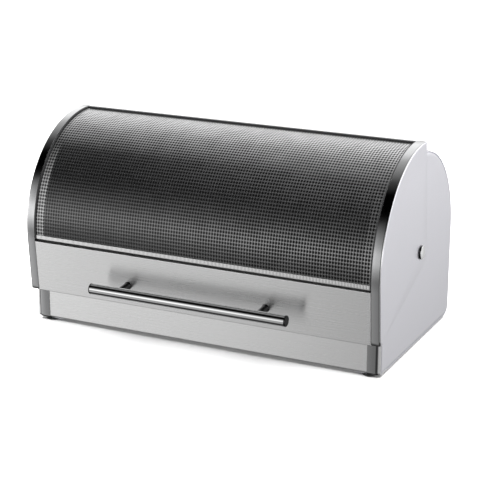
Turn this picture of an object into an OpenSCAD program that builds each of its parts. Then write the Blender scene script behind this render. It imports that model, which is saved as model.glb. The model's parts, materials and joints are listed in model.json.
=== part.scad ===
// Bread bin with a swing-over lid.
// Millimetres, +Z up, front towards -Y, left side at -X.
// Origin: centre of the footprint, on the surface that the feet stand on.

/* [Overall] */
// Width across the outside of the lid's side plates
bin_width = 420; // [340:5:480]
// Height of the lid's pivot axis above the table
pivot_height = 106.5; // [100:0.5:115]
// Thickness of every steel sheet
sheet = 1; // [0.8:0.1:1.2]

/* [Base] */
// Depth of the base, front face to rear face
base_depth = 217; // [214:0.5:218]
// Distance from the pivot axis back to the middle of the base
base_shift = 1.5; // [0:0.25:2]
// Radius of the base's lower front corner, seen from the side
front_corner = 4; // [4:0.5:8]
// Radius of the base's lower rear corner, seen from the side
rear_corner = 11; // [6:1:16]
// Width of the flange along the edge of each side panel
base_flange = 15.8; // [12:0.2:20]
// Width of the flange under the floor
floor_flange = 30; // [28:1:36]
// Height of the kick panel
kick_height = 47.5; // [36:0.5:50]
// How far the rear cover reaches forward over the top, from straight back
cover_angle = 100; // [96:1:108]
// Sideways gap between the base and the lid's side plates
side_gap = 1; // [1:0.1:1.5]

/* [Feet and bumpers] */
// Height of the feet under the base
foot_height = 2.3; // [2:0.1:5]
// Diameter of a foot
foot_diameter = 18; // [16:1:20]
// Diameter of a bumper that the closed lid rests on
bumper_diameter = 8; // [6:1:10]

/* [Lid] */
// Outer radius of the lid about its pivot
lid_radius = 120; // [119:0.5:124]
// Lean of the flat front, from upright
lid_lean = 4.6; // [3:0.1:6]
// Length of the flat front, below the arc
flat_length = 58; // [50:1:60]
// Angle of arc between the flat front and the rear edge
arc_angle = 97.7; // [94:0.1:100]
// Width of the polished strip along each side plate
strip_width = 10.3; // [8:0.1:14]
// Radius of the side plate round the pivot
hub_radius = 19; // [15:1:24]

/* [Window] */
// Thickness of the window
window_thickness = 3; // [2.5:0.25:3]
// Depth of the window below the strips
window_recess = 2.5; // [2:0.25:2.5]
// Width of the black seal seen beside the window
seal_width = 2.5; // [1.5:0.25:4]
// Height of the lower rail
rail_height = 4.5; // [3:0.5:10]
// Height of the dark joint between the front panel and the lower rail
joint_height = 2; // [2:0.5:5]
// Length of the upper rail along the arc, in degrees
upper_rail_angle = 2.4; // [2:0.1:4]

/* [Handle] */
// Length of the bar
bar_length = 233; // [180:1:260]
// Diameter of the bar
bar_diameter = 12; // [10:0.5:14]
// Clear distance between the front panel and the bar
finger_gap = 16; // [14:0.5:25]
// Distance of the bar below the panel's upper edge
bar_drop = 35.5; // [25:0.5:40]
// Distance between the two posts
post_spacing = 165; // [120:1:170]
// Diameter of a post
post_diameter = 8; // [7:0.5:9]

/* [Pivot] */
// Diameter of the pivot pin
pin_diameter = 6; // [5:0.5:7]
// Diameter of the pin's domed head
pin_head_diameter = 15; // [12:0.5:16]
// Radial clearance of the pin in its bush
pin_clearance = 0.05; // [0.02:0.01:0.1]

/* [Hidden] */
$fn = 96;

steel = [0.78, 0.78, 0.80];
polished = [0.60, 0.61, 0.63];
smoked = [0.16, 0.16, 0.17];
rubber = [0.06, 0.06, 0.06];
nylon = [0.85, 0.84, 0.80];

// Sideways positions, measured from the middle of the bin
lid_outer_x = bin_width / 2;
lid_inner_x = lid_outer_x - sheet;
base_outer_x = lid_inner_x - side_gap;
base_inner_x = base_outer_x - sheet;
strip_inner_x = lid_outer_x - strip_width;
fit_gap = 0.3;

// How far the side plate's edges start inside its hub
hub_blend = 0.5;

// Base outline, seen from the side, about the middle of the base
base_radius = base_depth / 2;
base_drop = pivot_height - foot_height;
front_straight = base_radius - front_corner;
rear_straight = base_radius - rear_corner;
floor_half = 86;
cover_lip = 7;
kick_hem = 10;

// Pivot hardware, along X
pin_radius = pin_diameter / 2;
bush_wall = 1.5;
bush_collar_radius = 9;
bush_collar = 0.8;
pin_head_gap = 0.1;
pin_head_rim = 2;
pin_head_height = 3.3;
pivot_washer_radius = 7;
pivot_washer_thickness = 1.2;
pivot_nut_across_flats = 10;
pivot_nut_thickness = 4.8;
pin_end = 1;

// Feet: a disc, a neck through the floor and a bulb that holds it there
foot_x = 193;
front_foot_y = -98;
rear_foot_y = 92.5;
foot_neck_radius = 3;
foot_hole_radius = 3.05;
foot_bulb_radius = 4.5;
foot_bulb = 2;

// Lid, in its own frame: pivot at the origin and the flat front upright
rear_edge_angle = 180 - arc_angle;
window_outer = lid_radius - window_recess;
window_inner = window_outer - window_thickness;
window_half = lid_inner_x - 1;
glazing_half = strip_inner_x - seal_width;
rail_lip = 1;
lip_angle = asin(rail_lip / window_outer);
rail_low_angle = 180 - asin(joint_height / window_outer);
rail_high_angle = 180 - asin((joint_height + rail_height) / window_outer);
upper_rail_end = rear_edge_angle + upper_rail_angle;
upper_seal_angle = 1.1;
window_low_angle = rail_low_angle - lip_angle;
window_high_angle = rear_edge_angle + 1.2;
seal_top = lid_radius - 0.4;

// Front panel: a face between the strips, a wider backing and two folded edges
panel_proud = 0.5;
panel_side_gap = 0.3;
panel_half = strip_inner_x - panel_side_gap;
backing_half = lid_inner_x - 2;
upper_fold = 8;
lower_fold = 4.5;
panel_overhang = 0.5;

// Handle, in the lid's frame
bar_radius = bar_diameter / 2;
panel_face_y = -lid_radius - panel_proud;
bar_y = panel_face_y - finger_gap - bar_radius;
tube_wall = 1;
plug_flange = 1.5;
plug_depth = 8;
panel_back_y = -lid_radius + 2 * sheet;
screw_radius = 1.95;
screw_bore_radius = 2;
screw_hole_radius = 2.2;
screw_head_radius = 4;
screw_head = 2.5;
screw_depth = 10;
post_bore = 12;
washer_radius = 5;
washer_thickness = 1;

// Bumpers on the base's front flange, and pads that stop the open lid
bumper_x = 200;
bumper_drop = 45;
bumper_tip = 1.5;
stop_pad_x = 150;
stop_pad_width = 24;
stop_pad_radius = lid_radius - 8.5;
stop_pad_angle = 4;

// The footprint's centre is the origin, so the pivot lies behind it
bar_front = bar_y * cos(lid_lean) + bar_drop * sin(lid_lean) - bar_radius;
pivot_y = -(bar_front + base_shift + base_radius) / 2;

// ---- Placing -------------------------------------------------------------

module at_pivot() {
    translate([0, pivot_y, pivot_height]) children();
}

module at_base_middle() {
    translate([0, pivot_y + base_shift, pivot_height]) children();
}

module in_lid_frame() {
    at_pivot() rotate([lid_lean, 0, 0]) children();
}

// Extrudes a side view, drawn as [y, z], from x0 to x1
module along_x(x0, x1) {
    translate([x0, 0, 0]) rotate([90, 0, 90]) linear_extrude(x1 - x0) children();
}

module on_side(side) {
    if (side == "left") mirror([1, 0, 0]) children();
    else children();
}

// Cylinder along X
module rod_x(radius, x0, x1) {
    translate([x0, 0, 0]) rotate([0, 90, 0]) cylinder(r = radius, h = x1 - x0);
}

// Cylinder along Y
module rod_y(radius, y0, y1) {
    translate([0, y1, 0]) rotate([90, 0, 0]) cylinder(r = radius, h = y1 - y0);
}

// ---- Side views ----------------------------------------------------------

function polar(r, angle) = [r * cos(angle), r * sin(angle)];

// Part of a ring, from angle a0 to a1, counted from straight back
module arc_band(r0, r1, a0, a1) {
    reach = 2 * r1;
    intersection() {
        difference() {
            circle(r = r1, $fn = 192);
            circle(r = r0, $fn = 192);
        }
        polygon([[0, 0], polar(reach, a0), polar(reach, (a0 + a1) / 2), polar(reach, a1)]);
    }
}

// The base's outline, moved in by inset
module base_outline(inset) {
    r = base_radius - inset;
    intersection() {
        circle(r = r, $fn = 192);
        translate([-r, 0]) square([2 * r, r]);
    }
    translate([-r, front_corner - base_drop])
        square([r + rear_straight, base_drop - front_corner]);
    translate([-front_straight, rear_corner - base_drop])
        square([r + front_straight, base_drop - rear_corner]);
    translate([-front_straight, inset - base_drop])
        square([front_straight + rear_straight, base_drop - inset]);
    translate([-front_straight, front_corner - base_drop]) circle(r = front_corner - inset);
    translate([rear_straight, rear_corner - base_drop]) circle(r = rear_corner - inset);
}

module base_skin(inset) {
    difference() {
        base_outline(inset);
        base_outline(inset + sheet);
    }
}

// The lid's outline, moved in by inset: a half disc on a rectangle
module lid_outline(inset) {
    r = lid_radius - inset;
    intersection() {
        circle(r = r, $fn = 192);
        translate([-r, 0]) square([2 * r, r]);
    }
    translate([-r, -flat_length]) square([2 * r, flat_length]);
}

// The lid's side plate: a sector that narrows to a round hub at the pivot
module lid_side_outline() {
    tip = polar(lid_radius, rear_edge_angle);
    toe = [-lid_radius, -flat_length];
    root = hub_radius - hub_blend;
    tip_root = polar(root, rear_edge_angle - acos(root / lid_radius));
    toe_root = polar(root, atan2(toe[1], toe[0]) + acos(root / norm(toe)));
    far = 2 * lid_radius;
    intersection() {
        lid_outline(0);
        polygon([toe_root, toe_root + 1.5 * (toe - toe_root), [-far, far],
                 1.5 * tip, 0.97 * tip, tip_root]);
    }
    circle(r = hub_radius);
}

// ---- Base ----------------------------------------------------------------

module foot_holes() {
    for (y = [front_foot_y, rear_foot_y])
        translate([foot_x, y, -base_drop - 1]) cylinder(r = foot_hole_radius, h = 2 * sheet + 2);
}

module side_panel(side) {
    color(steel) on_side(side) at_base_middle() difference() {
        union() {
            along_x(base_inner_x, base_outer_x) base_outline(0);
            along_x(base_outer_x - base_flange, base_inner_x) base_skin(0);
            translate([base_outer_x - floor_flange, -front_straight, -base_drop])
                cube([floor_flange - sheet, front_straight + rear_straight, sheet]);
        }
        translate([0, -base_shift, 0])
            rod_x(pin_radius + pin_clearance, base_inner_x - 1, base_outer_x + 1);
        foot_holes();
    }
}

module kick_panel() {
    front = -base_radius + sheet;
    top = kick_height - base_drop;
    far = 2 * base_radius;
    color(steel) at_base_middle() difference() {
        along_x(-base_inner_x, base_inner_x) {
            intersection() {
                base_skin(sheet);
                translate([-far, -far]) square([far - floor_half, far + top]);
            }
            translate([front, top - sheet]) square([kick_hem, sheet]);
        }
        foot_holes();
        mirror([1, 0, 0]) foot_holes();
    }
}

module floor_panel() {
    color(steel) at_base_middle() translate([-base_inner_x, -floor_half, sheet - base_drop])
        cube([2 * base_inner_x, 2 * floor_half, sheet]);
}

module rear_cover() {
    r1 = base_radius - sheet;
    far = 3 * base_radius;
    fold_y = (r1 - sheet) * cos(cover_angle) + sheet / 4;
    fold_top = sqrt(r1 * r1 - fold_y * fold_y) - sheet / 2;
    color(steel) at_base_middle() difference() {
        along_x(-base_inner_x, base_inner_x) {
            intersection() {
                base_skin(sheet);
                polygon([[floor_half, -far], [far, -far], [far, far], polar(far, cover_angle),
                         [0, 0], [floor_half, -1]]);
            }
            translate([fold_y, fold_top - cover_lip]) square([sheet, cover_lip]);
        }
        foot_holes();
        mirror([1, 0, 0]) foot_holes();
    }
}

module pivot_pin(side) {
    under_head = lid_outer_x + pin_head_gap;
    head_radius = pin_head_diameter / 2;
    dome = pin_head_height - pin_head_rim;
    dome_radius = (head_radius * head_radius + dome * dome) / (2 * dome);
    nut_face = base_inner_x - pivot_washer_thickness - pivot_nut_thickness;
    color(polished) on_side(side) at_pivot() {
        rod_x(pin_radius, nut_face - pin_end, under_head + pin_head_rim);
        intersection() {
            translate([under_head + pin_head_height - dome_radius, 0, 0]) rotate([0, 90, 0])
                sphere(r = dome_radius);
            rod_x(head_radius, under_head, under_head + 2 * pin_head_height);
        }
    }
}

module pivot_washer(side) {
    color(polished) on_side(side) at_pivot() difference() {
        rod_x(pivot_washer_radius, base_inner_x - pivot_washer_thickness, base_inner_x);
        rod_x(pin_radius + pin_clearance, base_inner_x - 2 * pivot_washer_thickness, base_outer_x);
    }
}

module pivot_nut(side) {
    face = base_inner_x - pivot_washer_thickness;
    corner = pivot_nut_across_flats / sqrt(3);
    color(polished) on_side(side) at_pivot() difference() {
        translate([face - pivot_nut_thickness, 0, 0]) rotate([0, 90, 0])
            cylinder(r = corner, h = pivot_nut_thickness, $fn = 6);
        rod_x(pin_radius, face - pivot_nut_thickness - 1, face + 1);
    }
}

module foot(side, end) {
    y = end == "front" ? front_foot_y : rear_foot_y;
    neck = 2 * sheet;
    color(rubber) on_side(side) at_base_middle()
        translate([foot_x, y, -pivot_height]) {
            cylinder(d = foot_diameter, h = foot_height);
            translate([0, 0, foot_height]) cylinder(r = foot_neck_radius, h = neck);
            translate([0, 0, foot_height + neck]) cylinder(r = foot_bulb_radius, h = foot_bulb);
        }
}

module closing_bumper(side) {
    strip_back = -lid_radius + 2 * sheet;
    lid_y = strip_back * cos(lid_lean) + (bumper_drop - bumper_diameter / 2) * sin(lid_lean);
    flange_y = base_shift - base_radius;
    tip_y = lid_y + fit_gap;
    color(rubber) on_side(side) at_pivot() translate([bumper_x, 0, -bumper_drop]) {
        rod_y(bumper_diameter / 2, tip_y + bumper_tip, flange_y);
        rod_y(bumper_diameter / 2 - 1, tip_y, flange_y);
    }
}

// ---- Lid -----------------------------------------------------------------

module lid_side(side) {
    color(polished) on_side(side) in_lid_frame() difference() {
        along_x(strip_inner_x, lid_outer_x) lid_side_outline();
        along_x(strip_inner_x - 1, lid_inner_x) {
            lid_outline(sheet);
            translate([sheet - lid_radius, -flat_length - 1]) square([2 * lid_radius, 2]);
        }
        rod_x(pin_radius + bush_wall, lid_inner_x - 1, lid_outer_x + 1);
    }
}

module pivot_bush(side) {
    color(nylon) on_side(side) in_lid_frame() difference() {
        union() {
            rod_x(bush_collar_radius, lid_inner_x - bush_collar, lid_inner_x);
            rod_x(pin_radius + bush_wall, lid_inner_x, lid_outer_x);
        }
        rod_x(pin_radius + pin_clearance, lid_inner_x - 2, lid_outer_x + 1);
    }
}

module window() {
    color(smoked) in_lid_frame() along_x(-window_half, window_half)
        arc_band(window_inner, window_outer, window_high_angle, window_low_angle);
}

module window_seal(side) {
    color(rubber) on_side(side) in_lid_frame() difference() {
        along_x(glazing_half, window_half)
            arc_band(window_outer, seal_top, upper_rail_end, rail_low_angle);
        along_x(strip_inner_x, window_half + 1)
            arc_band(lid_radius - sheet, lid_radius + 1, upper_rail_end - 1, rail_low_angle + 1);
    }
}

module upper_window_seal() {
    color(rubber) in_lid_frame() along_x(-glazing_half, glazing_half)
        arc_band(window_outer, seal_top, upper_rail_end, upper_rail_end + upper_seal_angle);
}

module lower_window_seal() {
    color(rubber) in_lid_frame() translate([-glazing_half, -lid_radius + 3.5, 0])
        cube([2 * glazing_half, 3.5, joint_height - 0.2]);
}

module lower_rail() {
    color(polished) in_lid_frame() along_x(-glazing_half, glazing_half) difference() {
        arc_band(window_inner - rail_lip, window_outer + rail_lip, rail_high_angle, rail_low_angle);
        arc_band(window_inner, window_outer, rail_high_angle - 1, window_low_angle);
    }
}

module upper_rail() {
    web_end = rear_edge_angle + 1;
    color(polished) in_lid_frame() along_x(-strip_inner_x, strip_inner_x) difference() {
        arc_band(window_inner - rail_lip, lid_radius, rear_edge_angle, upper_rail_end);
        arc_band(window_inner, lid_radius - sheet, web_end, upper_rail_end + 1);
    }
}

module front_panel() {
    low = -flat_length - panel_overhang;
    color(steel) in_lid_frame() difference() {
        union() {
            translate([-panel_half, panel_face_y, low])
                cube([2 * panel_half, panel_proud + sheet, -low]);
            translate([-backing_half, -lid_radius + sheet, low + sheet])
                cube([2 * backing_half, sheet, -low - 2 * sheet]);
            translate([-panel_half, panel_face_y, -sheet])
                cube([2 * panel_half, upper_fold, sheet]);
            translate([-panel_half, panel_face_y, low])
                cube([2 * panel_half, lower_fold, sheet]);
        }
        for (s = [-1, 1])
            translate([s * post_spacing / 2, 0, -bar_drop])
                rod_y(screw_hole_radius, panel_face_y - 1, panel_back_y + 1);
    }
}

module handle_tube() {
    half = bar_length / 2 - plug_flange;
    color(polished) in_lid_frame() translate([0, bar_y, -bar_drop]) difference() {
        rod_x(bar_radius, -half, half);
        rod_x(bar_radius - tube_wall, -half - 1, half + 1);
    }
}

module handle_plug(side) {
    half = bar_length / 2 - plug_flange;
    color(polished) on_side(side) in_lid_frame() translate([0, bar_y, -bar_drop]) {
        rod_x(bar_radius, half, half + plug_flange);
        rod_x(bar_radius - tube_wall, half - plug_depth, half);
    }
}

module handle_post(side) {
    color(polished) on_side(side) in_lid_frame()
        translate([post_spacing / 2, 0, -bar_drop]) difference() {
            rod_y(post_diameter / 2, bar_y, panel_face_y);
            translate([0, bar_y, 0]) rod_x(bar_radius, -post_diameter, post_diameter);
            rod_y(screw_bore_radius, panel_face_y - post_bore, panel_face_y + 1);
        }
}

module handle_washer(side) {
    color(polished) on_side(side) in_lid_frame()
        translate([post_spacing / 2, 0, -bar_drop]) difference() {
            rod_y(washer_radius, panel_back_y, panel_back_y + washer_thickness);
            rod_y(screw_hole_radius, panel_back_y - 1, panel_back_y + 2 * washer_thickness);
        }
}

module handle_screw(side) {
    seat = panel_back_y + washer_thickness;
    color(polished) on_side(side) in_lid_frame()
        translate([post_spacing / 2, 0, -bar_drop]) {
            rod_y(screw_radius, panel_face_y - screw_depth, seat);
            rod_y(screw_head_radius, seat, seat + screw_head);
        }
}

module stop_pad(side) {
    color(rubber) on_side(side) in_lid_frame()
        along_x(stop_pad_x - stop_pad_width / 2, stop_pad_x + stop_pad_width / 2)
            arc_band(stop_pad_radius, window_inner - rail_lip,
                     rear_edge_angle, rear_edge_angle + stop_pad_angle);
}

// ---- Drawing -------------------------------------------------------------

side_panel("left");  // left_side_panel
side_panel("right");  // right_side_panel
kick_panel();
floor_panel();
rear_cover();
pivot_pin("left");  // left_pivot_pin
pivot_pin("right");  // right_pivot_pin
pivot_washer("left");  // left_pivot_washer
pivot_washer("right");  // right_pivot_washer
pivot_nut("left");  // left_pivot_nut
pivot_nut("right");  // right_pivot_nut
foot("left", "front");  // left_front_foot
foot("right", "front");  // right_front_foot
foot("left", "rear");  // left_rear_foot
foot("right", "rear");  // right_rear_foot
closing_bumper("left");  // left_closing_bumper
closing_bumper("right");  // right_closing_bumper
lid_side("left");  // left_lid_side
lid_side("right");  // right_lid_side
pivot_bush("left");  // left_pivot_bush
pivot_bush("right");  // right_pivot_bush
window();
front_panel();
lower_rail();
upper_rail();
window_seal("left");  // left_window_seal
window_seal("right");  // right_window_seal
upper_window_seal();
lower_window_seal();
handle_tube();
handle_plug("left");  // left_handle_plug
handle_plug("right");  // right_handle_plug
handle_post("left");  // left_handle_post
handle_post("right");  // right_handle_post
handle_screw("left");  // left_handle_screw
handle_screw("right");  // right_handle_screw
handle_washer("left");  // left_handle_washer
handle_washer("right");  // right_handle_washer
stop_pad("left");  // left_stop_pad
stop_pad("right");  // right_stop_pad
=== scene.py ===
"""Bread bin with a swing-over lid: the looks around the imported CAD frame."""

import json
import math

import bmesh
import bpy
from mathutils import Matrix, Vector


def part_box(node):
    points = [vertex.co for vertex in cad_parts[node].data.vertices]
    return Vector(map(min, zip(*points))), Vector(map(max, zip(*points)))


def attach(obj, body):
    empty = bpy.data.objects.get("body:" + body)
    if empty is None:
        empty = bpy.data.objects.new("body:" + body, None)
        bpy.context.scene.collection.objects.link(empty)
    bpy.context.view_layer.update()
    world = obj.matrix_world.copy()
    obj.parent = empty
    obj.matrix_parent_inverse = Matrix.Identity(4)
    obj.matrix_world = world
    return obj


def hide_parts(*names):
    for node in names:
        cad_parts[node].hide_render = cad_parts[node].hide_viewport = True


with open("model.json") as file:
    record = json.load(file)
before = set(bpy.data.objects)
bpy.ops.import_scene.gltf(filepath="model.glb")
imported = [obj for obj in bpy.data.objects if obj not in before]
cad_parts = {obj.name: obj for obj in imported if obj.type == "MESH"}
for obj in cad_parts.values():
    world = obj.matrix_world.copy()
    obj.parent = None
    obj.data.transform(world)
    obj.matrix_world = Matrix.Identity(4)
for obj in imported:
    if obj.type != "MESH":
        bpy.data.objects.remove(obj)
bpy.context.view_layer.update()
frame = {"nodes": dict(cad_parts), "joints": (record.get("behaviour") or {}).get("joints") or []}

MM = 0.001
SIDES = {"left": -1, "right": 1}

# ---- Sizes, from the frame where it gives them --------------------------------------------------

JOINT = frame["joints"][0]
PIVOT = Vector(JOINT["pos_m"])
SHEET = 1.0 * MM

LID_LEAN = math.radians(4.6)
LID_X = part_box("right_lid_side")[1].x
STRIP_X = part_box("right_lid_side")[0].x
LID_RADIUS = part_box("right_lid_side")[1].z - PIVOT.z
FLAT_LENGTH = 58 * MM
LID_BEND = 2.2 * MM
REAR_EDGE = math.radians(82.3)
HUB_RADIUS = 19 * MM
BUSH_RADIUS = 4.5 * MM

BASE_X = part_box("right_side_panel")[1].x
BASE_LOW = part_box("right_side_panel")[0].z
BASE_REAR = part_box("right_side_panel")[1].y
BASE_RADIUS = (BASE_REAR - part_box("right_side_panel")[0].y) / 2
BASE_MIDDLE = BASE_REAR - BASE_RADIUS
BASE_DROP = PIVOT.z - BASE_LOW
FRONT_CORNER = 4 * MM
REAR_CORNER = 11 * MM
BASE_BEND = 6.5 * MM
FOLD_BEND = 1.2 * MM
KICK_HEM = 10 * MM
COVER_ANGLE = math.radians(100)
COVER_LIP = 7 * MM
COVER_LIP_LEAN = 0.6 * MM
BASE_FLANGE = 15.8 * MM
FLOOR_FLANGE = 30 * MM
FLOOR_HALF = 86 * MM
KICK_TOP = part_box("kick_panel")[1].z - PIVOT.z
PIN_HOLE = 3.05 * MM

WINDOW_RECESS = 2.5 * MM
WINDOW_THICKNESS = 3 * MM
WINDOW_OUTER = LID_RADIUS - WINDOW_RECESS
WINDOW_INNER = WINDOW_OUTER - WINDOW_THICKNESS
RAIL_LIP = 1 * MM
SEAL_TOP = LID_RADIUS - 0.4 * MM
GLAZING_X = STRIP_X - 1.6 * MM
WINDOW_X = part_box("window")[1].x
JOINT_HEIGHT = 2 * MM
RAIL_HEIGHT = 4.5 * MM
UPPER_RAIL_END = REAR_EDGE + math.radians(2.4)
UPPER_SEAL_END = UPPER_RAIL_END + math.radians(1.1)
RAIL_LOW = math.pi - math.asin(JOINT_HEIGHT / WINDOW_OUTER)
RAIL_HIGH = math.pi - math.asin((JOINT_HEIGHT + RAIL_HEIGHT) / WINDOW_OUTER)

WINDOW_PITCH = 3.2 * MM
WINDOW_ROW_PITCH = 3.86 * MM
DIMPLE_DEPTH = 0.32 * MM
DIMPLE_CUTS = 4
WINDOW_BORDER = 1 * MM
WINDOW_COLUMNS = int(2 * (GLAZING_X - WINDOW_BORDER) / WINDOW_PITCH)

PANEL_PROUD = 0.5 * MM
PANEL_X = STRIP_X - 0.3 * MM
PANEL_LOW = -FLAT_LENGTH - 0.5 * MM
BAR_RADIUS = 6 * MM
FINGER_GAP = 16 * MM
BAR_Y = -LID_RADIUS - PANEL_PROUD - FINGER_GAP - BAR_RADIUS
BAR_Z = -35.5 * MM
BAR_HALF = 116.5 * MM
TUBE_HALF = BAR_HALF - 1.5 * MM
TUBE_WALL = 1 * MM
PLUG_DEPTH = 8 * MM
POST_X = 82.5 * MM
POST_RADIUS = 4 * MM

# The lid's own frame has the pivot at its origin and the flat front upright
TO_LID = Matrix.Translation(PIVOT) @ Matrix.Rotation(LID_LEAN, 4, "X")
TO_BASE = Matrix.Translation((0, BASE_MIDDLE, PIVOT.z))


# ---- Node helpers -------------------------------------------------------------------------------

def new_material(name):
    mat = bpy.data.materials.new(name)
    mat.use_nodes = True
    tree = mat.node_tree
    shader = tree.nodes["Principled BSDF"]
    return mat, tree, shader


def add(tree, kind, **settings):
    node = tree.nodes.new(kind)
    for key, value in settings.items():
        setattr(node, key, value)
    return node


def object_coords(tree, scale):
    """Object coordinates in metres, stretched by scale."""
    coords = add(tree, "ShaderNodeTexCoord")
    mapping = add(tree, "ShaderNodeMapping")
    mapping.inputs["Scale"].default_value = scale
    tree.links.new(coords.outputs["Object"], mapping.inputs["Vector"])
    return mapping.outputs["Vector"]


def noise(tree, vector, scale, detail=4.0, roughness=0.6):
    node = add(tree, "ShaderNodeTexNoise")
    node.inputs["Scale"].default_value = scale
    node.inputs["Detail"].default_value = detail
    node.inputs["Roughness"].default_value = roughness
    tree.links.new(vector, node.inputs["Vector"])
    return node.outputs["Fac"]


def remap(tree, value, low, high, start=0.0, end=1.0):
    node = add(tree, "ShaderNodeMapRange")
    node.inputs["From Min"].default_value = start
    node.inputs["From Max"].default_value = end
    node.inputs["To Min"].default_value = low
    node.inputs["To Max"].default_value = high
    tree.links.new(value, node.inputs["Value"])
    return node.outputs["Result"]


def mix_colour(tree, value, dark, light):
    ramp = add(tree, "ShaderNodeValToRGB")
    ramp.color_ramp.elements[0].color = (*dark, 1)
    ramp.color_ramp.elements[1].color = (*light, 1)
    tree.links.new(value, ramp.inputs["Fac"])
    return ramp.outputs["Color"]


def bump(tree, height, distance):
    node = add(tree, "ShaderNodeBump")
    node.inputs["Distance"].default_value = distance
    node.inputs["Strength"].default_value = 1.0
    tree.links.new(height, node.inputs["Height"])
    return node.outputs["Normal"]


def calculate(tree, operation, *values):
    """A math node. Each value is a number or a socket."""
    node = add(tree, "ShaderNodeMath", operation=operation)
    for place, value in zip(node.inputs, values):
        if isinstance(value, (int, float)):
            place.default_value = value
        else:
            tree.links.new(value, place)
    return node.outputs[0]


def split(tree, vector):
    """The X, Y and Z outputs of a vector socket."""
    parts = add(tree, "ShaderNodeSeparateXYZ")
    tree.links.new(vector, parts.inputs["Vector"])
    return parts.outputs


def mix_sockets(tree, factor, first, second, kind="RGBA"):
    node = add(tree, "ShaderNodeMix", data_type=kind)
    for name, socket in (("Factor", factor), ("A", first), ("B", second)):
        tree.links.new(socket, node.inputs[name])
    return node.outputs["Result"]


# ---- Materials ----------------------------------------------------------------------------------

CLOUD_SHARE = 0.25


def metal(name, dark, light, rough, grain, depth, blotch=0.03, anisotropy=0.0):
    """Steel with a drawn grain. grain is how fine the lines are along x, y and z, per metre."""
    mat, tree, shader = new_material(name)
    lines = noise(tree, object_coords(tree, grain), 1.0, 6.0, 0.7)
    cloud = noise(tree, object_coords(tree, (1, 1, 1)), 14.0, 3.0, 0.5)
    both = calculate(tree, "MULTIPLY_ADD", lines, 1 - CLOUD_SHARE,
                     calculate(tree, "MULTIPLY", cloud, CLOUD_SHARE))
    tree.links.new(mix_colour(tree, both, dark, light), shader.inputs["Base Color"])
    tree.links.new(remap(tree, both, rough - blotch, rough + blotch, 0.3, 0.7),
                   shader.inputs["Roughness"])
    tree.links.new(bump(tree, lines, depth), shader.inputs["Normal"])
    shader.inputs["Metallic"].default_value = 1.0
    if anisotropy:
        shader.inputs["Anisotropic"].default_value = anisotropy
        shader.inputs["Anisotropic Rotation"].default_value = 0.25
        tangent = add(tree, "ShaderNodeTangent", direction_type="UV_MAP", uv_map="along")
        tree.links.new(tangent.outputs["Tangent"], shader.inputs["Tangent"])
    return mat


def dim_by(mat, factor):
    """Scales the material's own colour by a factor socket."""
    tree = mat.node_tree
    base_colour = tree.nodes["Principled BSDF"].inputs["Base Color"]
    scale = add(tree, "ShaderNodeVectorMath", operation="SCALE")
    tree.links.new(base_colour.links[0].from_socket, scale.inputs[0])
    tree.links.new(factor, scale.inputs["Scale"])
    tree.links.new(scale.outputs["Vector"], base_colour)


def satin_material():
    """Fine satin steel, a little paler towards the top, which stands in for uneven light."""
    mat = metal("satin_steel", (0.71, 0.707, 0.75), (0.79, 0.787, 0.83), 0.38,
                (2200, 14, 2200), 0.000004)
    tree = mat.node_tree
    height = split(tree, add(tree, "ShaderNodeTexCoord").outputs["Object"])["Z"]
    dim_by(mat, remap(tree, height, 0.84, 1.10, 0.0, 0.19))
    return mat


def bar_material():
    """Drawn steel in constant colours. What it mirrors makes its light and dark bands."""
    return metal("handle_steel", (0.5, 0.503, 0.506), (0.58, 0.583, 0.586), 0.09,
                 (9, 2600, 2600), 0.000002, blotch=0.02)


def rubber_material():
    mat, tree, shader = new_material("black_rubber")
    grain = noise(tree, object_coords(tree, (1, 1, 1)), 1800.0, 3.0, 0.6)
    tree.links.new(mix_colour(tree, grain, (0.008, 0.008, 0.008), (0.022, 0.022, 0.023)),
                   shader.inputs["Base Color"])
    tree.links.new(remap(tree, grain, 0.55, 0.8), shader.inputs["Roughness"])
    tree.links.new(bump(tree, grain, 0.00006), shader.inputs["Normal"])
    return mat


def nylon_material():
    mat, tree, shader = new_material("nylon")
    cloud = noise(tree, object_coords(tree, (1, 1, 1)), 300.0, 3.0, 0.5)
    tree.links.new(mix_colour(tree, cloud, (0.68, 0.66, 0.60), (0.80, 0.78, 0.73)),
                   shader.inputs["Base Color"])
    tree.links.new(remap(tree, cloud, 0.4, 0.55), shader.inputs["Roughness"])
    shader.inputs["Subsurface Weight"].default_value = 0.1
    return mat


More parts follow.
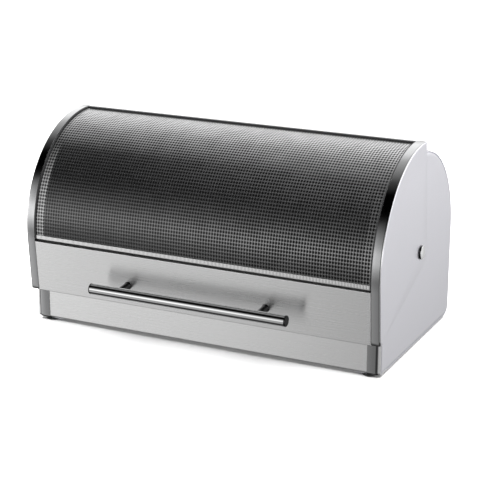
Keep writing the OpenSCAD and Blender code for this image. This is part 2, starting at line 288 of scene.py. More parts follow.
def window_material():
    """Smoked acrylic: a paler net between dark, round dimples.

    Its map counts columns from the left (X) and rows from the top (Y). The zones are painted on it:
    the paler top rows are a painted reflection, and so is the pale band near both ends of the lower
    rows, which is stronger at the left. The net is also paler on the right than on the left and
    darker in the lower rows.
    """
    mat, tree, shader = new_material("smoked_acrylic")
    cell = add(tree, "ShaderNodeUVMap", uv_map="grid").outputs["UV"]
    column, row, _ = split(tree, cell)
    half = WINDOW_COLUMNS / 2
    from_middle = calculate(tree, "SUBTRACT", column, half)
    outwards = calculate(tree, "ABSOLUTE", from_middle)

    # Zones, each from 0 to 1
    leftward = remap(tree, from_middle, 1.0, 0.0, -0.6 * half, 0.6 * half)
    # A painted reflection: a pale band near both ends of the lower rows, stronger at the left.
    edge_reflection = calculate(tree, "MULTIPLY", remap(tree, outwards, 0.0, 1.0, half - 2.7, half - 2.2),
                       remap(tree, row, 0.0, 1.0, 18.0, 34.0))
    edge_reflection = calculate(tree, "MULTIPLY", edge_reflection, remap(tree, leftward, 0.03, 0.22))
    # The top rows, where the net is painted paler: a painted reflection.
    high = remap(tree, row, 1.0, 0.0, 4.0, 20.0)
    low = remap(tree, row, 0.0, 1.0, 20.0, 34.0)
    calm = calculate(tree, "MULTIPLY", low, leftward)

    # The net between the dimples
    fraction = add(tree, "ShaderNodeVectorMath", operation="FRACTION")
    tree.links.new(cell, fraction.inputs[0])
    centre = add(tree, "ShaderNodeVectorMath", operation="DISTANCE")
    centre.inputs[1].default_value = (0.5, 0.5, 0.0)
    tree.links.new(fraction.outputs["Vector"], centre.inputs[0])
    cloud = noise(tree, object_coords(tree, (1, 1, 1)), 60.0, 3.0, 0.5)
    spread = calculate(tree, "MULTIPLY_ADD", cloud, 0.12, centre.outputs["Value"])
    net = remap(tree, spread, 0.0, 1.0, 0.35, 0.60)

    right = mix_colour(tree, net, (0.002, 0.002, 0.002), (0.06, 0.06, 0.061))
    left = mix_colour(tree, net, (0.002, 0.002, 0.002), (0.022, 0.022, 0.0225))
    bottom = mix_colour(tree, net, (0.003, 0.003, 0.003), (0.014, 0.014, 0.0145))
    # top is the colour of the painted reflection in the top rows, edge that of the painted
    # reflection near the ends.
    top = mix_colour(tree, net, (0.006, 0.006, 0.006), (0.20, 0.20, 0.203))
    edge = mix_colour(tree, net, (0.01, 0.01, 0.01), (0.9, 0.9, 0.9))
    colour = mix_sockets(tree, low, mix_sockets(tree, leftward, right, left), bottom)
    colour = mix_sockets(tree, high, colour, top)
    tree.links.new(mix_sockets(tree, edge_reflection, colour, edge), shader.inputs["Base Color"])
    tree.links.new(remap(tree, net, 0.30, 0.06), shader.inputs["Roughness"])
    shader.inputs["IOR"].default_value = 1.9
    sharp_gloss, calm_gloss = remap(tree, net, 0.03, 1.0), remap(tree, net, 0.2, 0.5)
    gloss = mix_sockets(tree, calm, sharp_gloss, calm_gloss, "FLOAT")
    tree.links.new(calculate(tree, "MULTIPLY", gloss, remap(tree, high, 0.76, 1.0)),
                   shader.inputs["Specular IOR Level"])
    return mat


def fluted_material():
    """Bright steel with fine upright flutes, two to each column of the window."""
    mat = metal("fluted_steel", (0.82, 0.82, 0.82), (0.94, 0.94, 0.94), 0.16,
                (30, 3000, 3000), 0.000002)
    tree = mat.node_tree
    across = split(tree, add(tree, "ShaderNodeTexCoord").outputs["Object"])["X"]
    wave = calculate(tree, "SINE", calculate(tree, "MULTIPLY", across, 2 * math.tau / WINDOW_PITCH))
    tree.links.new(bump(tree, wave, 0.00004), tree.nodes["Principled BSDF"].inputs["Normal"])
    return mat


MATERIALS = {
    "fluted": fluted_material(),
    "satin": satin_material(),
    "brushed": metal("brushed_steel", (0.75, 0.75, 0.75), (0.80, 0.80, 0.80), 0.28,
                     (6, 3000, 3000), 0.000003, anisotropy=0.8),
    # The strip steel is the satin sheet made darker: painted shade on the bent flanges and strips.
    "strip": metal("strip_steel_painted_shade", (0.335, 0.337, 0.34), (0.405, 0.407, 0.41), 0.13,
                   (3000, 40, 40), 0.000003),
    "polished": metal("polished_steel", (0.66, 0.665, 0.67), (0.76, 0.765, 0.77), 0.12,
                      (30, 3000, 3000), 0.000002),
    "bar": bar_material(),
    # Near-black steel: painted shade on the handle posts, bar plugs and pin rims, darker than their
    # steel.
    "post": metal("post_steel_painted_shade", (0.025, 0.025, 0.026), (0.045, 0.045, 0.046), 0.16,
                  (2600, 9, 2600), 0.000002, blotch=0.02),
    "fastener": metal("fastener_steel", (0.50, 0.50, 0.51), (0.66, 0.66, 0.67), 0.25,
                      (900, 900, 900), 0.00001),
    "rubber": rubber_material(),
    "nylon": nylon_material(),
    "window": window_material(),
}


# ---- Mesh helpers -------------------------------------------------------------------------------

def polar(radius, angle):
    """A point of a side view, as (y, z). Angles are counted from straight back."""
    return radius * math.cos(angle), radius * math.sin(angle)


def arc(radius, start, end, steps, middle=(0.0, 0.0)):
    points = []
    for i in range(steps + 1):
        y, z = polar(radius, start + (end - start) * i / steps)
        points.append((middle[0] + y, middle[1] + z))
    return points


def finish_piece(name, bm, place, body, nodes, materials, modifiers=()):
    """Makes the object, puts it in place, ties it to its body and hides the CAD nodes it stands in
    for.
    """
    bmesh.ops.remove_doubles(bm, verts=bm.verts, dist=1e-7)
    bmesh.ops.dissolve_degenerate(bm, edges=bm.edges, dist=1e-7)
    bm.transform(place)
    if place.determinant() < 0:
        bmesh.ops.reverse_faces(bm, faces=bm.faces)
    mesh = bpy.data.meshes.new(name)
    bm.to_mesh(mesh)
    bm.free()
    for polygon in mesh.polygons:
        polygon.use_smooth = True
    obj = bpy.data.objects.new(name, mesh)
    bpy.context.scene.collection.objects.link(obj)
    for key in materials:
        mesh.materials.append(MATERIALS[key])
    for kind, settings in modifiers:
        modifier = obj.modifiers.new(kind.lower(), kind)
        for key, value in settings.items():
            setattr(modifier, key, value)
    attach(obj, body)
    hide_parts(*nodes)
    return obj


def bend(radius, segments=5):
    """Rounds the folds of a sheet that has no thickness yet."""
    return "BEVEL", {"width": radius, "segments": segments, "limit_method": "ANGLE",
                     "angle_limit": math.radians(40), "use_clamp_overlap": True}


def thicken(thickness=SHEET):
    return "SOLIDIFY", {"thickness": thickness, "offset": -1.0, "use_even_offset": True}


def soften(radius, segments=2):
    """Rounds the edges of a solid."""
    return bend(radius, segments)


EVEN_NORMALS = ("WEIGHTED_NORMAL", {"keep_sharp": True, "weight": 60})


def mirror_for(side):
    return Matrix.Scale(SIDES[side], 4, (1, 0, 0))


def add_face(bm, corners, material=0):
    face = bm.faces.new([bm.verts.new(c) for c in corners])
    face.material_index = material


def bent_section(plate_x, edge_x, radius, steps=6):
    """Section of a bent sheet as (inset, x, material), from the plate's face round to its back."""
    lip = 0.2 * MM
    inner = radius - SHEET
    turns = [math.pi / 2 * i / steps for i in range(steps + 1)]
    # From halfway round the bend on, the sheet takes material 1, the strip steel: painted shade.
    section = [(radius * (1 - math.sin(turn)), plate_x - radius * (1 - math.cos(turn)),
                0 if i < steps / 2 else 1) for i, turn in enumerate(turns)]
    section += [(0, edge_x + lip, 1), (lip, edge_x, 1),
                (SHEET - lip, edge_x, 1), (SHEET, edge_x + lip, 1)]
    section += [(radius - inner * math.sin(turn), plate_x - radius + inner * math.cos(turn), 0)
                for turn in reversed(turns)]
    return section


def sweep(bm, rails, kinds, closed=False):
    """Joins rails of points into a skin, and returns their vertices."""
    rows = [[bm.verts.new(p) for p in rail] for rail in rails]
    count = len(rows[0])
    for first, second, kind in zip(rows, rows[1:], kinds):
        for i in range(count if closed else count - 1):
            j = (i + 1) % count
            bm.faces.new([first[i], second[i], second[j], first[j]]).material_index = kind
    return rows


def crease(bm, angle=0.6):
    """Keeps the folds steeper than angle crisp."""
    for edge in bm.edges:
        if len(edge.link_faces) == 2 and edge.calc_face_angle() > angle:
            edge.smooth = False


def close_plate(bm, outer, inner, hole_radius, hole_at):
    """Fills both faces of a plate, from its edge in to a round hole."""
    rims = []
    for ring in (outer, inner):
        rim = []
        for vert in ring:
            angle = math.atan2(vert.co.z - hole_at[1], vert.co.y - hole_at[0])
            rim.append(bm.verts.new((vert.co.x, hole_at[0] + hole_radius * math.cos(angle),
                                     hole_at[1] + hole_radius * math.sin(angle))))
        rims.append(rim)
    count = len(outer)
    for i in range(count):
        j = (i + 1) % count
        bm.faces.new([rims[0][i], outer[i], outer[j], rims[0][j]])
        bm.faces.new([inner[i], rims[1][i], rims[1][j], inner[j]])
        bm.faces.new([rims[1][i], rims[0][i], rims[0][j], rims[1][j]])


def wall(bm, path, x0, x1, material=0, closed=False):
    """A sheet that follows path, from x0 to x1. It faces the right-hand side of the path."""
    for i in range(len(path) if closed else len(path) - 1):
        j = (i + 1) % len(path)
        add_face(bm, [(x1, *path[i]), (x0, *path[i]), (x0, *path[j]), (x1, *path[j])], material)


def prism(bm, outline, x0, x1, material=0):
    """A solid with that side view. outline runs anticlockwise as seen from +X."""
    wall(bm, outline, x0, x1, material, closed=True)
    add_face(bm, [(x1, *p) for p in outline], material)
    add_face(bm, [(x0, *p) for p in reversed(outline)], material)


def box(bm, low, high, material=0):
    outline = [(low[1], low[2]), (high[1], low[2]), (high[1], high[2]), (low[1], high[2])]
    prism(bm, outline, low[0], high[0], material)


def lathe(bm, profile, material=0, segments=64):
    """Turns a profile of (radius, x) points round the X axis. Points on the axis close it."""
    rings = []
    for radius, x in profile:
        if radius < 1e-7:
            rings.append([bm.verts.new((x, 0, 0))])
            continue
        ring = []
        for k in range(segments):
            angle = math.tau * k / segments
            ring.append(bm.verts.new((x, radius * math.cos(angle), radius * math.sin(angle))))
        rings.append(ring)
    for first, second in zip(rings, rings[1:]):
        for k in range(segments):
            n = (k + 1) % segments
            corners = [first[k % len(first)], first[n % len(first)],
                       second[n % len(second)], second[k % len(second)]]
            unique = list(dict.fromkeys(corners))
            if len(unique) > 2:
                bm.faces.new(unique).material_index = material
    bmesh.ops.recalc_face_normals(bm, faces=bm.faces)


def rounded(profile, radius, steps=4):
    """Rounds the inner corners of a lathe profile."""
    points = [profile[0]]
    for before, corner, after in zip(profile, profile[1:], profile[2:]):
        here = Vector(corner)
        to_before = Vector(before) - here
        to_after = Vector(after) - here
        reach = min(radius, to_before.length / 2, to_after.length / 2)
        start = here + to_before.normalized() * reach
        end = here + to_after.normalized() * reach
        for i in range(steps + 1):
            t = i / steps
            point = start * (1 - t) ** 2 + here * 2 * t * (1 - t) + end * t ** 2
            points.append(tuple(point))
    points.append(profile[-1])
    return points


def along_map(obj):
    """A UV map whose U runs along X, which the brushed finish follows."""
    layer = obj.data.uv_layers.new(name="along")
    depth_share = 0.37  # keeps faces that lie flat from shrinking to a line in the map
    for loop in obj.data.loops:
        co = obj.data.vertices[loop.vertex_index].co
        layer.data[loop.index].uv = (co.x, co.z + depth_share * co.y)


# ---- Base ---------------------------------------------------------------------------------------

def base_outline(inset, arc_steps=96, corner_steps=8):
    """The base's side view about its middle, anticlockwise as seen from +X."""
    r = BASE_RADIUS - inset
    sharp = 0.4 * MM
    front, rear = (max(corner - inset, sharp) for corner in (FRONT_CORNER, REAR_CORNER))
    low = inset - BASE_DROP
    points = arc(rear, -math.pi / 2, 0, corner_steps, (r - rear, low + rear))
    points += arc(r, 0, math.pi, arc_steps)
    points += arc(front, math.pi, 1.5 * math.pi, corner_steps, (front - r, low + front))
    return points


def side_panel(side):
    """One sheet: the plate, a round bend and the flange along its edge."""
    section = bent_section(BASE_X, BASE_X - BASE_FLANGE, BASE_BEND)
    rails = [[(x, y, z) for y, z in base_outline(inset)] for inset, x, _ in section]
    bm = bmesh.new()
    rows = sweep(bm, rails, [kind for _, _, kind in section], closed=True)
    hole_at = (PIVOT.y - BASE_MIDDLE, 0)
    close_plate(bm, rows[0], rows[-1], PIN_HOLE, hole_at)
    crease(bm)
    # The flange takes the strip steel, painted shade on the same sheet.
    return finish_piece(f"{side}_side_panel_shell", bm, mirror_for(side) @ TO_BASE, "base",
                        [f"{side}_side_panel"], ["satin", "strip"], [EVEN_NORMALS])


def floor_flange(side):
    """The wider part of the side panel's flange, under the floor."""
    bm = bmesh.new()
    box(bm, (BASE_X - FLOOR_FLANGE, FRONT_CORNER - BASE_RADIUS, -BASE_DROP),
        (BASE_X - BASE_FLANGE, BASE_RADIUS - REAR_CORNER, -BASE_DROP + SHEET))
    return finish_piece(f"{side}_floor_flange", bm, mirror_for(side) @ TO_BASE, "base",
                        [], ["satin"], [soften(0.15 * MM), EVEN_NORMALS])


def kick_panel():
    """From under the floor, round the lower front corner and up to a folded top edge."""
    r = BASE_RADIUS - SHEET
    low = SHEET - BASE_DROP
    corner = FRONT_CORNER - SHEET
    path = [(-FLOOR_HALF, low)]
    path += arc(corner, -math.pi / 2, -math.pi, 6, (corner - r, low + corner))
    path += [(-r, KICK_TOP), (-r + KICK_HEM, KICK_TOP)]
    bm = bmesh.new()
    wall(bm, path[::-1], -BASE_X + SHEET, BASE_X - SHEET)
    obj = finish_piece("kick_panel_sheet", bm, TO_BASE, "base", ["kick_panel"], ["brushed"],
                       [bend(FOLD_BEND), thicken(), soften(0.15 * MM), EVEN_NORMALS])
    along_map(obj)
    return obj


def rear_cover():
    """From under the floor, up the back and over the top to a folded edge under the lid."""
    r = BASE_RADIUS - SHEET
    low = SHEET - BASE_DROP
    corner = REAR_CORNER - SHEET
    path = [(FLOOR_HALF, low)] + arc(corner, -math.pi / 2, 0, 10, (r - corner, low + corner))
    path += arc(r, 0, COVER_ANGLE, 60)
    end = path[-1]
    path += [(end[0] + COVER_LIP_LEAN, end[1] - COVER_LIP)]
    bm = bmesh.new()
    wall(bm, path, -BASE_X + SHEET, BASE_X - SHEET)
    return finish_piece("rear_cover_sheet", bm, TO_BASE, "base", ["rear_cover"], ["satin"],
                        [bend(FOLD_BEND), thicken(), soften(0.15 * MM), EVEN_NORMALS])


def floor_panel():
    low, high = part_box("floor_panel")
    bm = bmesh.new()
    box(bm, low, high)
    return finish_piece("floor_panel_sheet", bm, Matrix.Identity(4), "base", ["floor_panel"],
                        ["satin"], [soften(0.15 * MM), EVEN_NORMALS])


def pivot_pin(side):
    under_head = LID_X + 0.1 * MM
    shaft, head, rim, height, chamfer = 3 * MM, 7.5 * MM, 2 * MM, 3.29 * MM, 0.2 * MM
    dome_steps = 16
    low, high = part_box(f"{side}_pivot_pin")
    length = high.x - low.x
    profile = [(0, under_head + height - length), (shaft, under_head + height - length),
               (shaft, under_head), (head - chamfer, under_head), (head, under_head + chamfer),
               (head, under_head + rim - chamfer)]
    dome = height - rim
    dome_radius = (head ** 2 + dome ** 2) / (2 * dome)
    spread = math.asin(head / dome_radius)
    middle = under_head + height - dome_radius
    for i in range(dome_steps + 1):
        angle = spread * (1 - i / dome_steps)
        profile.append((dome_radius * math.sin(angle), middle + dome_radius * math.cos(angle)))
    bm = bmesh.new()
    lathe(bm, profile)
    # The rim takes material 1, the near-black post steel: painted shade.
    for face in bm.faces:
        if max(vert.co.x for vert in face.verts) < under_head + rim:
            face.material_index = 1
    place = mirror_for(side) @ Matrix.Translation((0, PIVOT.y, PIVOT.z))
    return finish_piece(f"{side}_pin", bm, place, "base", [f"{side}_pivot_pin"],
                        ["polished", "post"], [EVEN_NORMALS])


def foot(side, end):
    node = f"{side}_{end}_foot"
    low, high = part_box(node)
    radius = (high.x - low.x) / 2
    top = high.z - low.z
    disc = top - 4 * MM
    profile = rounded([(0, 0), (radius - 0.8 * MM, 0), (radius, 0.9 * MM), (radius, disc),
                       (3 * MM, disc), (3 * MM, disc + 2 * MM), (4.5 * MM, disc + 2.1 * MM),
                       (3.4 * MM, top), (0, top)], 0.4 * MM)
    bm = bmesh.new()
    lathe(bm, profile)
    middle = (low + high) / 2
    place = Matrix.Translation((middle.x, middle.y, low.z)) @ Matrix.Rotation(-math.pi / 2, 4, "Y")
    return finish_piece(f"{node}_pad", bm, place, "base", [node], ["rubber"], [EVEN_NORMALS])


def closing_bumper(side):
    node = f"{side}_closing_bumper"
    low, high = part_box(node)
    radius = (high.z - low.z) / 2
    length = high.y - low.y
    profile = rounded([(0, 0), (radius, 0), (radius, length - 1.5 * MM),
                       (radius - 1 * MM, length), (0, length)], 0.6 * MM)
    bm = bmesh.new()
    lathe(bm, profile)
    middle = (low + high) / 2
    place = Matrix.Translation((middle.x, high.y, middle.z)) @ Matrix.Rotation(-math.pi / 2, 4, "Z")
    return finish_piece(f"{node}_pad", bm, place, "base", [node], ["rubber"], [EVEN_NORMALS])


# ---- Lid ----------------------------------------------------------------------------------------

def lid_outline(inset, slope):
    """Up the flat front and back over the arc to the tip. Its lower end follows the toe's cut."""
    r = LID_RADIUS - inset
    flat = [(-r, -FLAT_LENGTH * (1 - i / 12)) for i in range(1, 12)]
    return [(-r, -FLAT_LENGTH + slope * inset)] + flat + arc(r, math.pi, REAR_EDGE, 96)


def lid_side(side):
    """One sheet: the sector, a round bend and the strip along its front and top edge."""
    toe = Vector((-LID_RADIUS, -FLAT_LENGTH))
    toe_angle = math.atan2(toe.y, toe.x) + math.acos(HUB_RADIUS / toe.length)
    tip_angle = REAR_EDGE - math.acos(HUB_RADIUS / LID_RADIUS)
    toe_root = Vector(polar(HUB_RADIUS, toe_angle))
    slope = (toe_root.y - toe.y) / (toe_root.x - toe.x)
    section = bent_section(LID_X, STRIP_X, LID_BEND)
    rails = [[(x, y, z) for y, z in lid_outline(inset, slope)[::-1]] for inset, x, _ in section]
    bm = bmesh.new()
    rows = sweep(bm, rails, [kind for _, _, kind in section])
    for end in (0, -1):
        bm.faces.new([row[end] for row in rows]).material_index = 0
    step_in = Vector(polar(LID_RADIUS * 0.97, REAR_EDGE))
    root = Vector(polar(HUB_RADIUS, tip_angle))
    hub = [toe_root.lerp(toe, 1 - i / 12) for i in range(1, 12)]
    hub += [Vector(p) for p in arc(HUB_RADIUS, toe_angle, tip_angle, 32)]
    hub += [root.lerp(step_in, i / 12) for i in range(1, 13)]
    outer = rows[0] + [bm.verts.new((LID_X, p.x, p.y)) for p in hub]
    inner = rows[-1] + [bm.verts.new((LID_X - SHEET, p.x, p.y)) for p in hub]
    count = len(outer)
    for i in range(len(rows[0]) - 1, count):
        j = (i + 1) % count
        bm.faces.new([outer[i], inner[i], inner[j], outer[j]])
    close_plate(bm, outer, inner, BUSH_RADIUS, (0.0, 0.0))
    crease(bm)
    # The strip takes the strip steel, painted shade on the same sheet.
    return finish_piece(f"{side}_lid_side_shell", bm, mirror_for(side) @ TO_LID, "lid",
                        [f"{side}_lid_side"], ["satin", "strip"], [EVEN_NORMALS])


def window():
    """The curved sheet, with a grid of small dimples moulded in its outer face."""
    border_high, border_low = 3 * MM, 0.6 * MM
    overlap = math.radians(1.2)
    start = UPPER_SEAL_END + border_high / WINDOW_OUTER
    end = RAIL_HIGH - border_low / WINDOW_OUTER
    rows = int((end - start) * WINDOW_OUTER / WINDOW_ROW_PITCH)
    start = end - rows * WINDOW_ROW_PITCH / WINDOW_OUTER
    field_x = WINDOW_COLUMNS * WINDOW_PITCH / 2
    waves = [math.sin(math.pi * a / DIMPLE_CUTS) ** 2 for a in range(DIMPLE_CUTS)]

    # Lines across and down, each with its place in a dimple's wave, or None outside the grid
    xs = [(-WINDOW_X, None)]
    xs += [(-field_x + i * WINDOW_PITCH / DIMPLE_CUTS, i % DIMPLE_CUTS)
           for i in range(WINDOW_COLUMNS * DIMPLE_CUTS + 1)]
    xs += [(WINDOW_X, None)]
    angles = [(REAR_EDGE + overlap, None)]
    angles += [(start + i * WINDOW_ROW_PITCH / DIMPLE_CUTS / WINDOW_OUTER, i % DIMPLE_CUTS)
               for i in range(rows * DIMPLE_CUTS + 1)]
    angles += [(RAIL_LOW - math.asin(SHEET / WINDOW_OUTER), None)]

    bm = bmesh.new()
    uv = bm.loops.layers.uv.new("grid")
    grid, places = [], {}
    for angle, b in angles:
        row = []
        for x, a in xs:
            dip = 0.0 if a is None or b is None else DIMPLE_DEPTH * waves[a] * waves[b]
            vert = bm.verts.new((x, *polar(WINDOW_OUTER - dip, angle)))
            places[vert] = ((x + field_x) / WINDOW_PITCH,
                            (angle - start) * WINDOW_OUTER / WINDOW_ROW_PITCH)
            row.append(vert)
        grid.append(row)
    for lower, upper in zip(grid, grid[1:]):
        for i in range(len(xs) - 1):
            face = bm.faces.new([lower[i], lower[i + 1], upper[i + 1], upper[i]])
            for loop in face.loops:
                loop[uv].uv = places[loop.vert]
    inner = [[bm.verts.new((s * WINDOW_X, *polar(WINDOW_INNER, angle))) for s in (-1, 1)]
             for angle, _ in angles]
    for k in range(len(angles) - 1):
        bm.faces.new([grid[k][0], grid[k + 1][0], inner[k + 1][0], inner[k][0]])
        bm.faces.new([grid[k + 1][-1], grid[k][-1], inner[k][1], inner[k + 1][1]])
        bm.faces.new([inner[k][1], inner[k][0], inner[k + 1][0], inner[k + 1][1]])
    bm.faces.new(grid[0] + [inner[0][1], inner[0][0]])
    bm.faces.new(grid[-1][::-1] + [inner[-1][0], inner[-1][1]])
    bmesh.ops.recalc_face_normals(bm, faces=bm.faces)
    return finish_piece("window_sheet", bm, TO_LID, "lid", ["window"], ["window"])


def band(r0, r1, a0, a1, steps):
    """Side view of a part of a ring, anticlockwise as seen from +X."""
    return arc(r1, a0, a1, steps) + arc(r0, a1, a0, steps)


def front_panel():
    """The flat face with its folds: back over the top, in at the bottom and in at both ends."""
    x, y, low = PANEL_X, -LID_RADIUS - PANEL_PROUD, PANEL_LOW
    top_fold, low_fold, end_fold = y + 8 * MM, y + 4.5 * MM, y + 1.5 * MM
    bm = bmesh.new()
    add_face(bm, [(-x, y, low), (x, y, low), (x, y, 0), (-x, y, 0)])
    add_face(bm, [(-x, y, 0), (x, y, 0), (x, top_fold, 0), (-x, top_fold, 0)])
    add_face(bm, [(-x, low_fold, low), (x, low_fold, low), (x, y, low), (-x, y, low)])
    for s in (-1, 1):
        corners = [(s * x, y, low), (s * x, end_fold, low), (s * x, end_fold, 0), (s * x, y, 0)]
        add_face(bm, corners if s > 0 else corners[::-1])
    obj = finish_piece("front_panel_sheet", bm, TO_LID, "lid", ["front_panel"], ["brushed"],
                       [bend(0.9 * MM, 4), thicken(), soften(0.12 * MM), EVEN_NORMALS])
    along_map(obj)
    return obj


def panel_backing():
    """The front panel's inner layer, which reaches under the strips."""
    bm = bmesh.new()
    half = LID_X - SHEET - 2 * MM
    box(bm, (-half, -LID_RADIUS + SHEET, PANEL_LOW + SHEET),
        (half, -LID_RADIUS + 2 * SHEET, -SHEET))
    obj = finish_piece("panel_backing", bm, TO_LID, "lid", [], ["brushed"],
                       [soften(0.15 * MM), EVEN_NORMALS])
    along_map(obj)
    return obj


def lower_rail():
    """A channel round the window's lower edge: an outer leg, an inner leg and the web."""
    grip = 0.2 * MM
    web_start = RAIL_LOW - math.asin(SHEET / WINDOW_OUTER)
    bm = bmesh.new()
    for outline in (band(WINDOW_OUTER - grip, WINDOW_OUTER + RAIL_LIP, RAIL_HIGH, RAIL_LOW, 8),
                    band(WINDOW_INNER - RAIL_LIP, WINDOW_INNER + grip, RAIL_HIGH, RAIL_LOW, 8),
                    band(WINDOW_INNER - RAIL_LIP, WINDOW_OUTER + RAIL_LIP, web_start, RAIL_LOW, 2)):
        prism(bm, outline, -GLAZING_X, GLAZING_X)
    return finish_piece("lower_rail_bar", bm, TO_LID, "lid", ["lower_rail"], ["fluted"],
                        [soften(0.25 * MM, 3), EVEN_NORMALS])


def upper_rail():
    """A channel round the window's upper edge: an outer leg, the web and an inner leg."""
    web_end = REAR_EDGE + math.radians(0.6)
    inner = WINDOW_INNER - RAIL_LIP
    bm = bmesh.new()
    for outline in (band(LID_RADIUS - SHEET, LID_RADIUS, REAR_EDGE, UPPER_RAIL_END, 6),
                    band(inner, LID_RADIUS - SHEET, REAR_EDGE, web_end, 2),
                    band(inner, WINDOW_INNER, web_end, UPPER_SEAL_END, 6)):
        prism(bm, outline, -STRIP_X, STRIP_X)
    return finish_piece("upper_rail_bar", bm, TO_LID, "lid", ["upper_rail"], ["polished"],
                        [soften(0.25 * MM, 3), EVEN_NORMALS])


def window_seal(side):
    bm = bmesh.new()
    prism(bm, band(WINDOW_OUTER, SEAL_TOP, UPPER_RAIL_END, RAIL_LOW, 90), GLAZING_X, STRIP_X)
    prism(bm, band(WINDOW_OUTER, LID_RADIUS - SHEET, UPPER_RAIL_END, RAIL_LOW, 90),
          STRIP_X, WINDOW_X)
    return finish_piece(f"{side}_seal", bm, mirror_for(side) @ TO_LID, "lid",
                        [f"{side}_window_seal"], ["rubber"], [soften(0.5 * MM, 3), EVEN_NORMALS])


def upper_seal():
    bm = bmesh.new()
    prism(bm, band(WINDOW_OUTER, SEAL_TOP, UPPER_RAIL_END, UPPER_SEAL_END, 4),
          -GLAZING_X, GLAZING_X)
    return finish_piece("upper_seal", bm, TO_LID, "lid", ["upper_window_seal"], ["rubber"],
                        [soften(0.5 * MM, 3), EVEN_NORMALS])


def lower_seal():
    bm = bmesh.new()
    box(bm, (-GLAZING_X, -LID_RADIUS + 3.5 * MM, 0),
        (GLAZING_X, -LID_RADIUS + 7 * MM, JOINT_HEIGHT - 0.2 * MM))
    return finish_piece("lower_seal", bm, TO_LID, "lid", ["lower_window_seal"], ["rubber"],
                        [soften(0.4 * MM, 3), EVEN_NORMALS])


def handle_tube():
    steps = 24
    places = [-TUBE_HALF + 2 * TUBE_HALF * i / steps for i in range(steps + 1)]
    outside = [(BAR_RADIUS, x) for x in places]
    inside = [(BAR_RADIUS - TUBE_WALL, x) for x in reversed(places)]
    bm = bmesh.new()
    lathe(bm, outside + inside + [outside[0]])
    return finish_piece("handle_bar_tube", bm, TO_LID @ Matrix.Translation((0, BAR_Y, BAR_Z)),
                        "lid", ["handle_tube"], ["bar"], [soften(0.1 * MM), EVEN_NORMALS])


def handle_plug(side):
    """A plug with a chamfered rim and a slightly sunk face."""
    neck = BAR_RADIUS - TUBE_WALL - 0.05 * MM
    chamfer = 0.5 * MM
    face = BAR_HALF - 0.25 * MM
    profile = [(0, TUBE_HALF - PLUG_DEPTH), (neck, TUBE_HALF - PLUG_DEPTH), (neck, TUBE_HALF),
               (BAR_RADIUS, TUBE_HALF), (BAR_RADIUS, BAR_HALF - chamfer),
               (BAR_RADIUS - chamfer, BAR_HALF), (BAR_RADIUS - 1.4 * MM, BAR_HALF),
               (BAR_RADIUS - 1.6 * MM, face), (0, face)]
    bm = bmesh.new()
    lathe(bm, profile)
    place = mirror_for(side) @ TO_LID @ Matrix.Translation((0, BAR_Y, BAR_Z))
    # The plug takes the near-black post steel: painted shade.
    return finish_piece(f"{side}_bar_plug", bm, place, "lid", [f"{side}_handle_plug"], ["post"],
                        [soften(0.1 * MM), EVEN_NORMALS])


def handle_post(side):
    """A round post with a slightly wider foot. Its end reaches into the bar."""
    length = FINGER_GAP + 2.2 * MM
    foot_radius = POST_RADIUS + 0.4 * MM
    profile = [(0, 0), (foot_radius, 0), (foot_radius, 1.2 * MM),
               (POST_RADIUS, 1.6 * MM), (POST_RADIUS, length), (0, length)]
    bm = bmesh.new()
    lathe(bm, profile)
    place = (mirror_for(side) @ TO_LID
             @ Matrix.Translation((POST_X, -LID_RADIUS - PANEL_PROUD, BAR_Z))
             @ Matrix.Rotation(-math.pi / 2, 4, "Z"))
    # The post takes the near-black post steel: painted shade.
    return finish_piece(f"{side}_bar_post", bm, place, "lid", [f"{side}_handle_post"], ["post"],
                        [soften(0.15 * MM), EVEN_NORMALS])


CAD_FINISHES = {
    "pivot_washer": "fastener", "pivot_nut": "fastener", "pivot_bush": "nylon",
    "handle_screw": "fastener", "handle_washer": "fastener", "stop_pad": "rubber",
}


def finish_cad_nodes():
    """Gives the small CAD pieces inside the bin their materials."""
    for side in SIDES:
        for name, key in CAD_FINISHES.items():
            obj = frame["nodes"][f"{side}_{name}"]
            obj.data.materials.clear()
            obj.data.materials.append(MATERIALS[key])


for side in SIDES:
    side_panel(side)
    floor_flange(side)
    pivot_pin(side)
    closing_bumper(side)
    for end in ("front", "rear"):
        foot(side, end)
    lid_side(side)
    window_seal(side)
    handle_plug(side)
    handle_post(side)
kick_panel()
rear_cover()
floor_panel()
window()
front_panel()
panel_backing()
lower_rail()
upper_rail()
upper_seal()
lower_seal()
handle_tube()
finish_cad_nodes()


# ---- Studio -------------------------------------------------------------------------------------

def studio_floor():
    """A plain pale floor. It ends before the light fades, and the steel doesn't mirror it."""
    bm = bmesh.new()
    size = 4.5
    add_face(bm, [(-size, -size, 0), (size, -size, 0), (size, size, 0), (-size, size, 0)])
    mesh = bpy.data.meshes.new("studio_floor")
    bm.to_mesh(mesh)
    bm.free()
    obj = bpy.data.objects.new("studio_floor", mesh)
    bpy.context.scene.collection.objects.link(obj)
    mat, _, shader = new_material("studio_floor")
    shader.inputs["Base Color"].default_value = (0.94, 0.94, 0.94, 1)
    shader.inputs["Roughness"].default_value = 0.8
    mesh.materials.append(mat)
    obj.visible_glossy = False


def overhead_light():
    """A wide soft light over the table, which the steel doesn't mirror."""
    data = bpy.data.lights.new("overhead_light", "AREA")
    data.shape = "RECTANGLE"
    data.size, data.size_y = 5.0, 5.0
    data.energy = 420
    obj = bpy.data.objects.new("overhead_light", data)
    obj.location = (0, 0, 3.0)
    obj.visible_glossy = False
    bpy.context.scene.collection.objects.link(obj)


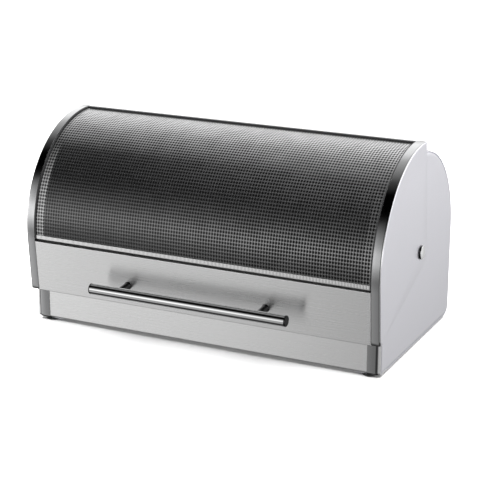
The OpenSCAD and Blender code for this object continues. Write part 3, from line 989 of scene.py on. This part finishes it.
def ramp_lights(tree, value, stops, top):
    """A ramp over 0 to 1 whose stops are (place, light). top is the light that counts as 1."""
    ramp = add(tree, "ShaderNodeValToRGB")
    tree.links.new(value, ramp.inputs["Fac"])
    elements = ramp.color_ramp.elements
    while len(elements) < len(stops):
        elements.new(0.5)
    for element, (place, light) in zip(elements, stops):
        element.position = place
        element.color = (light / top, light / top, light / top, 1)
    return ramp.outputs["Color"]


def as_ramp(stops):
    """Turns (degrees, light) stops, from -180 to 180 degrees, into places from 0 to 1."""
    return [((degrees + 180) / 360, light) for degrees, light in stops]


# Light by the angle that a direction rises over the front
RISE_TOP = 4.0
RISE_STOPS = [
    (-180, 0.80), (-150, 0.70), (-115, 0.3), (-90, 0.02), (-58, 0.05), (-44, 0.58), (-30, 0.75),
    (-18, 0.57), (-8, 1.25), (0, 2.15), (10, 2.15), (18, 1.25), (26, 0.75), (35, 0.3), (44, 0.03),
    (50, 0.0), (74, 0.0), (88, 0.08), (102, 0.4), (118, 0.8), (132, 1.7), (155, 1.9), (168, 1.1),
    (180, 0.8),
]
# Share of that light by the angle to the right of the front
SIDE_TOP = 0.62
SIDE_STOPS = [
    (-180, 0.6), (-60, 0.95), (-35.0, 0.82), (-34.3, 0.44), (-31, 0.54), (-28, 0.63), (-24, 0.51),
    (-21, 0.35), (-16, 0.32), (-10, 0.08), (22, 0.08), (40, 0.9), (90, 1.0), (140, 0.8),
    (156, 0.62), (180, 0.6),
]


def studio_world():
    """What the steel mirrors: a bright front, a dark gap overhead and a bright back.

    The camera itself sees plain white past the floor.
    """
    world = bpy.data.worlds.new("studio")
    bpy.context.scene.world = world
    world.use_nodes = True
    tree = world.node_tree
    back = tree.nodes["Background"]
    right, rearward, up = split(tree, add(tree, "ShaderNodeTexCoord").outputs["Generated"])
    forward = calculate(tree, "MULTIPLY", rearward, -1.0)
    rise = calculate(tree, "ARCTAN2", up, forward)
    sideways = calculate(tree, "ARCTAN2", right, forward)
    around = ramp_lights(tree, remap(tree, rise, 0.0, 1.0, -math.pi, math.pi),
                         as_ramp(RISE_STOPS), RISE_TOP)
    across = ramp_lights(tree, remap(tree, sideways, 0.0, 1.0, -math.pi, math.pi),
                         as_ramp(SIDE_STOPS), SIDE_TOP)
    both = add(tree, "ShaderNodeVectorMath", operation="MULTIPLY")
    tree.links.new(around, both.inputs[0])
    tree.links.new(across, both.inputs[1])
    back.inputs["Strength"].default_value = RISE_TOP
    tree.links.new(both.outputs["Vector"], back.inputs["Color"])
    beyond = add(tree, "ShaderNodeBackground")
    beyond.inputs["Color"].default_value = (1, 1, 1, 1)
    paths = add(tree, "ShaderNodeLightPath")
    either = add(tree, "ShaderNodeMixShader")
    tree.links.new(paths.outputs["Is Camera Ray"], either.inputs[0])
    tree.links.new(back.outputs[0], either.inputs[1])
    tree.links.new(beyond.outputs[0], either.inputs[2])
    tree.links.new(either.outputs[0], tree.nodes["World Output"].inputs["Surface"])


def camera():
    """To the right of the front and a little above. Place and lens were fitted to the outline."""
    place = Vector((703.8, -1436.1, 594.7)) * MM
    azimuth, elevation = math.radians(25.97), math.radians(17.30)
    away = Vector((math.sin(azimuth) * math.cos(elevation),
                   -math.cos(azimuth) * math.cos(elevation), math.sin(elevation)))
    data = bpy.data.cameras.new("camera")
    data.sensor_width = 36
    data.lens = 112.8
    data.clip_start = 0.05
    obj = bpy.data.objects.new("camera", data)
    obj.location = place
    obj.rotation_euler = (-away).to_track_quat("-Z", "Y").to_euler()
    bpy.context.scene.collection.objects.link(obj)
    bpy.context.scene.camera = obj


studio_floor()
overhead_light()
studio_world()
camera()
bpy.context.scene.view_settings.view_transform = "Standard"
